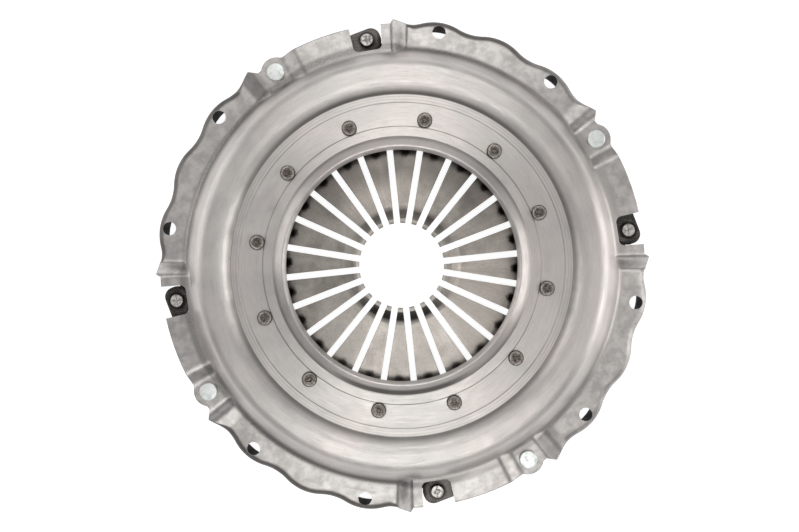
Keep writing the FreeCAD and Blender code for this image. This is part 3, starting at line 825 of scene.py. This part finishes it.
spring = add_piece(
    "diaphragm_spring_disc", spring_mesh(), spring_steel(), "cover_assembly", "diaphragm_spring",
    sharp=40,
)
solid = spring.modifiers.new("sheet", "SOLIDIFY")
solid.thickness = spring_sheet * MM
solid.offset = 0.0
solid.use_even_offset = True
edge = spring.modifiers.new("stoned_edges", "BEVEL")
edge.width = 0.45 * MM
edge.segments = 2
edge.limit_method = "ANGLE"
edge.angle_limit = math.radians(50)
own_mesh(spring)


# Cover: one 6 mm steel sheet, drawn to a dome with a flat riveting ring and a flared mouth.
# Its flange has a scalloped turned-down lip, four raised steps, four strap pads and notches.
# Angles in degrees run from the middle of a quarter's first scallop, radii are from the axis.
sheet = 6.0
lean = 0.48
wall_foot_r = 206.3
split_z = 28.0
crown_z = 45.0
mouth_r, mouth_z, mouth_foot_r = 109.5, 43.0, 119.2
coin_in_r, coin_out_r, coin_run = 128.0, 150.0, 0.4
slope_foot_r, slope_head_r = 158.0, 166.5
under_mouth_r, under_foot_r, under_head_r = 115.9, 160.5, 169.0
step_z, pad_z, flange_z = 21.0, 14.5, 6.0
lobe_r, dip_r, lobe_pitch = 235.7, 230.8, 15.0
raised_edge_r, step_corner_r, pad_bulge_r = 227.0, 231.5, 14.66
ramp_foot, step_corner, step_edge, pad_edge, lobes_start = -21.7, -18.9, -18.2, 15.9, 17.6
bolting_start, bolting_end = 21.9, 68.3
levels = (
    (ramp_foot, flange_z), (-18.7, step_z), (5.9, step_z), (8.9, pad_z), (16.6, pad_z), (18.8, 8.0),
    (bolting_start, flange_z), (bolting_end, flange_z), (71.3, step_z),
)
bend_spread = 1.05
lip_wall, lip_depth, lip_run_out = 4.6, 22.0, 14.0
lip_round, raised_round = 7.5, 0.7
round_start, round_end, round_run = 19.0, 69.6, 3.5
notch_half, notch_floor_r, notch_corner = 3.78, 204.0, 5.0
bolt_circle_r, bolt_hole_r, bolt_angles = 225.0, 6.5, (30.0, 60.0)
ring_hole_r, pad_rivet_hole_r = 5.1, 5.15
columns = 200


def in_quarter(angle):
    """An angle brought into the quarter that starts at the foot of the steep ramp."""
    return (angle - ramp_foot) % 90.0 + ramp_foot


def flat_level(angle):
    """Height of the flange's top at an angle, with sharp bends."""
    at = in_quarter(angle)
    for (a, low), (b, high) in zip(levels, levels[1:]):
        if a <= at <= b:
            return low + (high - low) * (at - a) / (b - a)
    return flange_z


def level(angle):
    """Height of the flange's top at an angle, with its bends rounded."""
    return sum(flat_level(angle + bend_spread * i / 6) * (7 - abs(i)) for i in range(-6, 7)) / 49


def wall_r(z):
    """Outer radius of the leaning wall at a height."""
    return wall_foot_r - (z - flange_z) * lean


wall_slant = sheet * math.hypot(1, lean)
turn = math.cos(math.radians(lobe_pitch / 2))
square = 2 * (1 - turn)
linear = 2 * (lobe_r - dip_r) * (1 + turn)
constant = lobe_r ** 2 + dip_r ** 2 - 2 * turn * lobe_r * dip_r
bow = (math.sqrt(linear ** 2 + 4 * square * constant) - linear) / (2 * square)
lobe_middle, dip_middle = around(lobe_r - bow, 0), around(dip_r + bow, lobe_pitch / 2)
meeting = (lobe_middle + dip_middle) / 2
lobe_half = math.degrees(math.atan2(meeting.y, meeting.x))


def scallop(angle):
    """Radius of the scalloped edge at an angle."""
    off = angle - lobe_pitch * round(angle / lobe_pitch)
    if abs(off) <= lobe_half:
        middle, way, side = lobe_r - bow, off, 1
    else:
        middle, way, side = dip_r + bow, lobe_pitch / 2 - abs(off), -1
    way = math.radians(way)
    return middle * math.cos(way) + side * math.sqrt(bow ** 2 - (middle * math.sin(way)) ** 2)


def chord(angle, a, ra, b, rb):
    """Radius at an angle on the straight line between two points."""
    a, b, at = math.radians(a), math.radians(b), math.radians(angle)
    return math.sin(b - a) / (math.sin(at - a) / rb + math.sin(b - at) / ra)


def outline(angle):
    """Radius of the cover's edge at an angle."""
    at = in_quarter(angle)
    if at < step_corner:
        return chord(at, ramp_foot, scallop(ramp_foot), step_corner, step_corner_r)
    if at < step_edge:
        return chord(at, step_corner, step_corner_r, step_edge, raised_edge_r)
    if at < pad_edge:
        off = math.radians(at - strap_angle)
        reach = pad_bulge_r ** 2 - (strap_circle_r * math.sin(off)) ** 2
        bulge = strap_circle_r * math.cos(off) + math.sqrt(reach) if reach > 0 else 0.0
        return max(raised_edge_r, bulge)
    if at < lobes_start:
        return chord(at, pad_edge, raised_edge_r, lobes_start, scallop(lobes_start))
    return scallop(at)


def notched(angle):
    """Radius of the edge with the notches over the lug rivets cut in."""
    off = abs(in_quarter(angle) + strap_angle)
    if off >= notch_half:
        return outline(angle)
    floor_r = notch_floor_r / math.cos(math.radians(off))
    into_corner = notch_corner - math.radians(notch_half - off) * notch_floor_r
    if into_corner > 0:
        floor_r += notch_corner - math.sqrt(notch_corner ** 2 - into_corner ** 2)
    return floor_r


def lip_bottom(angle, under):
    """Height of the lip's lower edge at an angle."""
    at = in_quarter(angle)
    run = math.radians(min(at - bolting_start, bolting_end - at)) * bolt_circle_r
    return under - (lip_depth + under) * min(1.0, run / lip_run_out) if run > 0 else under


def edge_round(angle):
    """Radius on the outer edge of the flange at an angle."""
    at = in_quarter(angle)
    share = min(1.0, max(0.0, min(at - round_start, round_end - at) / round_run))
    return raised_round + (lip_round - raised_round) * share


def spaced(points, longest):
    """Path with points added so that no straight run is longer than a limit."""
    result = [points[0]]
    for before, after in zip(points, points[1:]):
        count = max(1, math.ceil((after - before).length / longest))
        result.extend(before.lerp(after, (i + 1) / count) for i in range(count))
    return result


crown_outer_r = wall_r(crown_z)
outer_join = (wall_r(split_z), split_z)
inner_join = (wall_r(split_z) - wall_slant, split_z)
flare = Vector((118.5 - mouth_r, 36.0 - mouth_z)).normalized()
mouth_under = Vector((mouth_r, mouth_z)) + Vector((flare.y, -flare.x)) * sheet
lip_middle = ((mouth_under.x + mouth_r) / 2, (mouth_under.y + mouth_z) / 2)
dome_top = spaced(rounded(
    [lip_middle, (mouth_r, mouth_z), (mouth_foot_r, ring_z), (coin_in_r, ring_z),
     (coin_in_r + coin_run, ring_top), (coin_out_r, ring_top), (coin_out_r + coin_run, ring_z),
     (slope_foot_r, ring_z), (slope_head_r, crown_z), (crown_outer_r, crown_z), outer_join],
    [1.2, 0.8, 0.3, 0.3, 0.3, 0.3, 0.7, 17.0, 12.0], [3, 3, 2, 2, 2, 2, 2, 7, 7],
), 6.0)
dome_under = spaced(rounded(
    [inner_join, (crown_outer_r - 3.7, crown_z - sheet), (under_head_r, crown_z - sheet),
     (under_foot_r, ring_z - sheet), (under_mouth_r, ring_z - sheet), tuple(mouth_under),
     lip_middle],
    [3.0, 8.0, 6.0, 6.0, 0.8], [3, 4, 3, 3, 2],
), 12.0)


def flange_line(angle):
    """Lower part of the cover's section: wall, bend, flange, edge and lip, and back to the wall."""
    top = level(angle)
    under = top - sheet
    edge_r = notched(angle)
    low = lip_bottom(angle, under)
    tall = min(1.0, (under - low) / 4.0)
    outer_round = edge_round(angle)
    inner_r = edge_r - lip_wall
    inner_round = 0.3 + 2.2 * tall
    wall_in = wall_r(under) - wall_slant
    bend_in = min(8.0, max(0.5, (inner_r - wall_in) * 0.6))
    path = [
        outer_join, (wall_r(top), top), (edge_r, top), (edge_r, min(low, top - outer_round - 0.9)),
        (inner_r, min(low, under - 0.01)), (inner_r, under), (wall_in, under), inner_join,
    ]
    radii = [5.0, outer_round, 0.5, 0.3 * tall + 0.002, inner_round * tall + 0.001, bend_in]
    return rounded(path, radii, [5, 7, 3, 2, 3, 4])


def cover_angles():
    """Angles of the cover's columns, closer where its outline turns sharply."""
    extra = [ramp_foot, step_corner, step_edge, pad_edge, lobes_start]
    for side in (-1, 1):
        extra.extend(side * notch_half - strap_angle + shift for shift in (-0.02, 0.02))
        extra.extend(side * (notch_half - 0.35 * i) - strap_angle for i in range(1, 5))
    angles = []
    for quarter in quarters:
        angles.extend(quarter + a for a in extra)
        angles.extend(quarter + 90.0 / columns * i for i in range(columns))
    angles = sorted(a % 360.0 for a in angles)
    return [a for a, b in zip(angles, angles[1:] + [angles[0] + 360.0]) if b - a > 0.03]


def cover_mesh():
    """Whole cover as one closed sheet, column by column round the axis."""
    points, faces = [], []
    angles = cover_angles()
    for angle in angles:
        loop = dome_top + flange_line(angle)[1:] + dome_under[1:-1]
        points.extend((*around(p.x, angle), p.y) for p in loop)
    rows = len(loop)
    for column in range(len(angles)):
        a, b = column * rows, (column + 1) % len(angles) * rows
        for row in range(rows):
            on = (row + 1) % rows
            faces.append((a + row, a + on, b + on, b + row))
    return joined_mesh("drawn_cover", points, faces, near=3e-6)


def pierced(mesh, punches):
    """Mesh with round holes punched through it."""
    tool_mesh = bpy.data.meshes.new("punches")
    combined = bmesh.new()
    for r, places in punches:
        one = lathe_mesh("punch", [(0, -20), (r, -20), (r, 60), (0, 60)], places)
        combined.from_mesh(one)
        bpy.data.meshes.remove(one)
    combined.to_mesh(tool_mesh)
    combined.free()
    blank = bpy.data.objects.new("blank", mesh)
    tool = bpy.data.objects.new("punches", tool_mesh)
    for used in (blank, tool):
        scene.collection.objects.link(used)
    cut = blank.modifiers.new("punch", "BOOLEAN")
    cut.operation = "DIFFERENCE"
    cut.object = tool
    cut.solver = "EXACT"
    bpy.context.view_layer.update()
    shaped = blank.evaluated_get(bpy.context.evaluated_depsgraph_get())
    result = bpy.data.meshes.new_from_object(shaped)
    for used in (blank, tool):
        bpy.data.objects.remove(used)
    return result


def band(tree, value, middle, half, soft):
    """Mask that is full within a half width of a middle value and fades out softly."""
    off = maths(tree, "ABSOLUTE", less(tree, value, middle))
    return fitted(tree, off, half, half + soft, 1.0, 0.0)


def painted_shade_and_marks(tree, shade, round_axis, upright, sideways, cloud):
    """Cover colour with painted shade at the foot of the slope, the mouth and the wall and on two
    steep ramps, stipple stains at the wall foot, and dark lines at the coined ring's edges and two
    die lines.
    """
    radius, angle = round_axis.outputs["Radius"], round_axis.outputs["Angle"]
    # painted shade at the foot of the slope up to the crown, stronger at the top
    slope = times(
        tree, band(tree, radius, (slope_foot_r - 0.5) * MM, 0.0014, 0.0042),
        fitted(tree, radius, 0.1570, 0.1578, 0, 0.6), fitted(tree, upright, 0.6, 0.95, 1.0, 1.45),
    )
    shade = mixed(tree, slope, shade, (0.10, 0.095, 0.088))

    # painted shade in the crease at the mouth's foot, and more on its lower side
    rim = times(
        tree, band(tree, radius, mouth_foot_r * MM, 0.0010, 0.0034),
        fitted(tree, radius, 0.1190, 0.1196, 0.42, 0),
    )
    low_rim = times(
        tree, band(tree, radius, 0.1170, 0.0010, 0.0030),
        fitted(tree, upright, -0.97, -0.75, 0.85, 0),
    )
    shade = mixed(tree, maths(tree, "MAXIMUM", rim, low_rim), shade, (0.10, 0.094, 0.088))

    for line_r, fade, share, dark in (
        (coin_in_r + 0.2, 0.0004, 0.6, (0.19, 0.175, 0.16)),
        (coin_out_r + 0.2, 0.0004, 0.42, (0.19, 0.175, 0.16)),
        (153.1, 0.0005, 0.2, (0.2, 0.185, 0.17)),
        (155.7, 0.0005, 0.2, (0.2, 0.185, 0.17)),
    ):
        line = times(tree, band(tree, radius, line_r * MM, 0.0003, fade), share)
        shade = mixed(tree, line, shade, dark)

    stipple = patchy(tree, 620.0, 4.0, 0.5, 0.25)
    stained = times(tree, stipple, fitted(tree, cloud, 0.0, 1.0, 0.4, 0.1))
    # painted shade at the wall's foot, broken by stipple stains and weaker on the right, with more
    # painted shade on the lower side
    foot = times(
        tree, band(tree, radius, (wall_foot_r + 0.2) * MM, 0.0012, 0.0090),
        fitted(tree, radius, 0.207, 0.2118, 1, 0), plus(tree, 0.44, stained),
        fitted(tree, sideways, 0.1, 0.8, 1.1, 0.45),
    )
    low_foot = times(
        tree, band(tree, radius, (wall_foot_r - 1.0) * MM, 0.0008, 0.0026),
        fitted(tree, upright, -0.8, -0.3, 0.75, 0), fitted(tree, sideways, 0.1, 0.6, 1.0, 0.3),
    )
    shade = mixed(tree, maths(tree, "MAXIMUM", foot, low_foot), shade, (0.14, 0.135, 0.13))

    # painted shade on the steep ramps of two opposite quarters
    from_ramp = maths(tree, "PINGPONG", less(tree, angle, math.radians(108.5)), math.pi / 2)
    ramp = times(
        tree, fitted(tree, from_ramp, math.radians(1.3), math.radians(2.5), 0.6, 0.0),
        fitted(tree, radius, 0.2065, 0.2085, 0, 1),
    )
    return mixed(tree, ramp, shade, (0.11, 0.104, 0.10))


def cover_steel():
    """Drawn sheet steel: satin light grey, with die marks round the axis, stains and scuffs."""
    material, tree = metal("drawn_sheet_steel")
    fine = placed(tree, round_the_axis, Around=9.0, Across=1300.0, Detail=4.0)
    broad = placed(tree, round_the_axis, Around=7.0, Across=160.0, Detail=5.0)
    mottle = patchy(tree, 42.0, 8.0, 0.5, 0.22)
    cloud = patchy(tree, 9.0, 5.0, 0.5, 0.2)
    speck = patchy(tree, 700.0, 2.0, 0.68, 0.05)
    blotch = patchy(tree, 110.0, 8.0, 0.5, 0.14)
    blush = patchy(tree, 13.0, 4.0, 0.53, 0.13)
    radius, streak, outward = (fine.outputs[name] for name in ("Radius", "Streak", "Outward"))
    upright, sideways = by_side(tree, fine.outputs["Angle"])

    shade = mixed(tree, mottle, (0.50, 0.482, 0.466), (0.59, 0.57, 0.55))
    shade = mixed(tree, faint(tree, cloud, 0.6), shade, (0.64, 0.603, 0.583))
    shade = mixed(tree, faint(tree, blush, 0.7), shade, (0.655, 0.602, 0.588))
    flange = fitted(tree, radius, 0.206, 0.212, 0.0, 1.0)
    uneven = mixed(tree, blotch, (0.36, 0.347, 0.336), (0.58, 0.562, 0.545))
    shade = mixed(tree, times(tree, flange, 0.7), shade, uneven)
    marks = times(tree, fitted(tree, streak, 0.35, 0.65, 0.0, 0.35), less(tree, 1.0, flange))
    shade = mixed(tree, marks, shade, (0.46, 0.443, 0.425))
    bands = fitted(tree, broad.outputs["Streak"], 0.55, 0.8, 0.0, 0.45)
    shade = mixed(tree, bands, shade, (0.42, 0.40, 0.385))
    shade = mixed(tree, faint(tree, speck, 0.3), shade, (0.2, 0.18, 0.165))
    shade = painted_shade_and_marks(tree, shade, fine, upright, sideways, cloud)

    # painted shade: a dark band round the outer edge, weaker on the right, a darker grey underside,
    # and the inside of the lip black
    edge = times(
        tree, fitted(tree, outward, 0.02, 0.45, 0.0, 0.86),
        fitted(tree, radius, 0.213, 0.218, 0, 1), fitted(tree, sideways, 0.35, 0.85, 1.0, 0.25),
    )
    shade = mixed(tree, edge, shade, (0.09, 0.083, 0.077))
    under = fitted(tree, fine.outputs["Upward"], -0.5, -0.2, 0.9, 0.0)
    shade = mixed(tree, under, shade, (0.17, 0.158, 0.146))
    inside = times(
        tree, fitted(tree, outward, -0.6, -0.4, 1.0, 0.0),
        fitted(tree, fine.outputs["Height"], 0.002, 0.005, 1, 0),
    )
    shade = mixed(tree, inside, shade, (0.016, 0.014, 0.012))

    rough = plus(
        tree, fitted(tree, streak, 0.3, 0.7, 0.34, 0.46), fitted(tree, mottle, 0.0, 1.0, 0.0, 0.07)
    )
    # the black painted shade inside the lip is also matte and not metallic
    rough = maths(tree, "MAXIMUM", rough, times(tree, inside, 0.95))
    height = plus(tree, streak, times(tree, broad.outputs["Streak"], 2.0))
    main = principled(material)
    tree.links.new(less(tree, 1.0, inside), main.inputs["Metallic"])
    main.inputs["Anisotropic"].default_value = 0.68
    main.inputs["Anisotropic Rotation"].default_value = 0.25
    return finished(material, shade, rough, height, 0.00005)


bolt_places = [around(bolt_circle_r, quarter + a) for quarter in quarters for a in bolt_angles]
pad_places = [around(strap_circle_r, quarter + strap_angle) for quarter in quarters]
holes = [(bolt_hole_r, bolt_places), (ring_hole_r, rivet_places), (pad_rivet_hole_r, pad_places)]
add_piece(
    "drawn_cover", pierced(cover_mesh(), holes), cover_steel(), "cover_assembly", "cover", sharp=38
)


# Pad rivets: four zinc-plated rivets that hold the upper strap ends under the cover's pads.
# Their heads are low and round, and stay the brightest spots of the whole assembly.
pad_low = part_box("pad_rivets")[0][2] / MM
pad_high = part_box("pad_rivets")[1][2] / MM
pad_foot_r, pad_shank_r, pad_head_r = 7.4, 5.0, 8.4
pad_foot_top = pad_low + 3.4
pad_profile = rounded(
    [(0, pad_low), (pad_foot_r, pad_low), (pad_foot_r, pad_foot_top), (pad_shank_r, pad_foot_top),
     (pad_shank_r, pad_z), (pad_head_r, pad_z), (pad_head_r, pad_high - 0.7), (7.7, pad_high),
     (0, pad_high)],
    [0.8, 0.2, 0.2, 0.2, 0.3, 0.4, 0.6],
)
zinc = rivet_steel(
    "zinc_plate", (0.72, 0.745, 0.73), (0.58, 0.60, 0.585), stain_edge=0.58, rough=0.38
)
add_piece(
    "pad_rivet_set", lathe_mesh("pad_rivet_set", pad_profile, pad_places), zinc,
    "cover_assembly", "pad_rivets",
)
